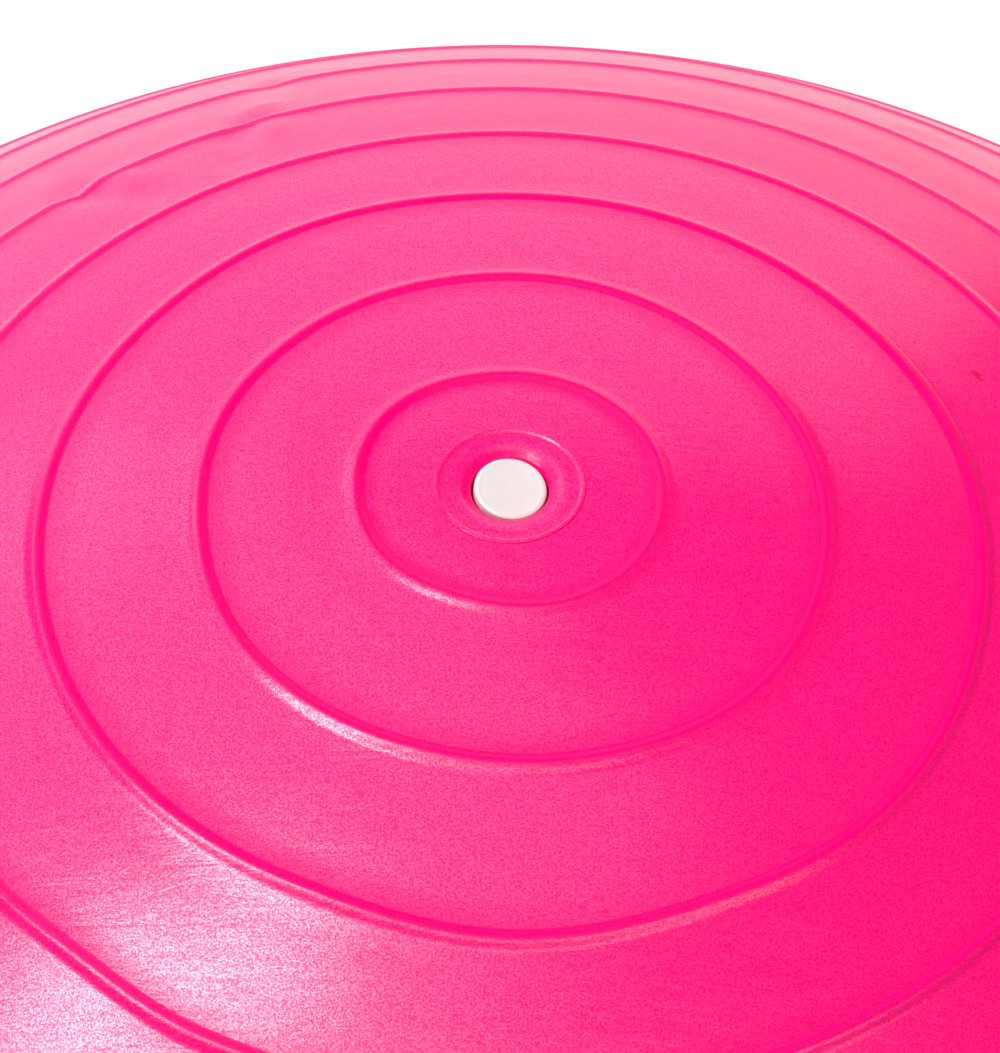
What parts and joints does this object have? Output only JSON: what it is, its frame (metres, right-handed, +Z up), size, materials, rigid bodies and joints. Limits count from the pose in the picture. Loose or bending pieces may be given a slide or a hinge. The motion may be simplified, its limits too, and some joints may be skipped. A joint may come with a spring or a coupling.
{
  "type": "balance dome trainer",
  "caption": "Inflatable ribbed half-dome with a crown air plug, clamped to a round platform with finger grips, rubber feet and swinging band rings.",
  "frame": {"origin": "middle of the circle of feet, on the floor", "axes": "+Z up along the dome's axis; the finger grips lie on X, the band rings on Y"},
  "size_m": [0.61, 0.64, 0.2465],
  "materials": {
    "pink_vinyl": "satin moulded vinyl with a fine grain",
    "white_vinyl": "smooth satin vinyl",
    "black_plastic": "fine spark-eroded texture",
    "grey_plastic": "matt moulded plastic",
    "black_rubber": "matt rubber",
    "zinc_steel": "zinc plated"
  },
  "bodies": {
    "platform": {"dome_skin": "pink_vinyl", "valve_seat": "pink_vinyl", "clamp_ring": "black_plastic", "rim_seal": "black_rubber", "platform_deck": "black_plastic", "platform_pan": "black_plastic", "stiffening_core": "grey_plastic", "tread_mat": "black_rubber", "centre_bolt": "zinc_steel", "centre_cap": "grey_plastic", "clamp_screw_01": "zinc_steel", "clamp_screw_02": "zinc_steel", "clamp_screw_03": "zinc_steel", "clamp_screw_04": "zinc_steel", "clamp_screw_05": "zinc_steel", "clamp_screw_06": "zinc_steel", "clamp_screw_07": "zinc_steel", "clamp_screw_08": "zinc_steel", "clamp_screw_09": "zinc_steel", "clamp_screw_10": "zinc_steel", "clamp_screw_11": "zinc_steel", "clamp_screw_12": "zinc_steel", "pan_screw_1": "zinc_steel", "pan_screw_2": "zinc_steel", "pan_screw_3": "zinc_steel", "pan_screw_4": "zinc_steel", "pan_screw_5": "zinc_steel", "pan_screw_6": "zinc_steel", "foot_pad_1": "black_rubber", "foot_pad_2": "black_rubber", "foot_pad_3": "black_rubber", "foot_pad_4": "black_rubber", "foot_pad_5": "black_rubber", "foot_pad_6": "black_rubber", "grip_cup_left": "grey_plastic", "grip_cup_right": "grey_plastic", "band_anchor_front": "black_plastic", "band_anchor_back": "black_plastic", "anchor_screw_front_left": "zinc_steel", "anchor_screw_front_right": "zinc_steel", "anchor_screw_back_left": "zinc_steel", "anchor_screw_back_right": "zinc_steel"},
    "plug": {"air_plug": "white_vinyl"},
    "ring_front": {"band_ring_front": "zinc_steel"},
    "ring_back": {"band_ring_back": "zinc_steel"}
  },
  "joints": [
    {"name": "plug_pull", "type": "slide", "parent": "platform", "child": "plug", "axis": [0, 0, 1], "range_m": [0, 0.032]},
    {"name": "ring_front_swing", "type": "hinge", "parent": "platform", "child": "ring_front", "pos_m": [0, -0.315, 0.0375], "axis": [-1, 0, 0], "range_deg": [-4, 184]},
    {"name": "ring_back_swing", "type": "hinge", "parent": "platform", "child": "ring_back", "pos_m": [0, 0.315, 0.0375], "axis": [1, 0, 0], "range_deg": [-4, 184]}
  ]
}
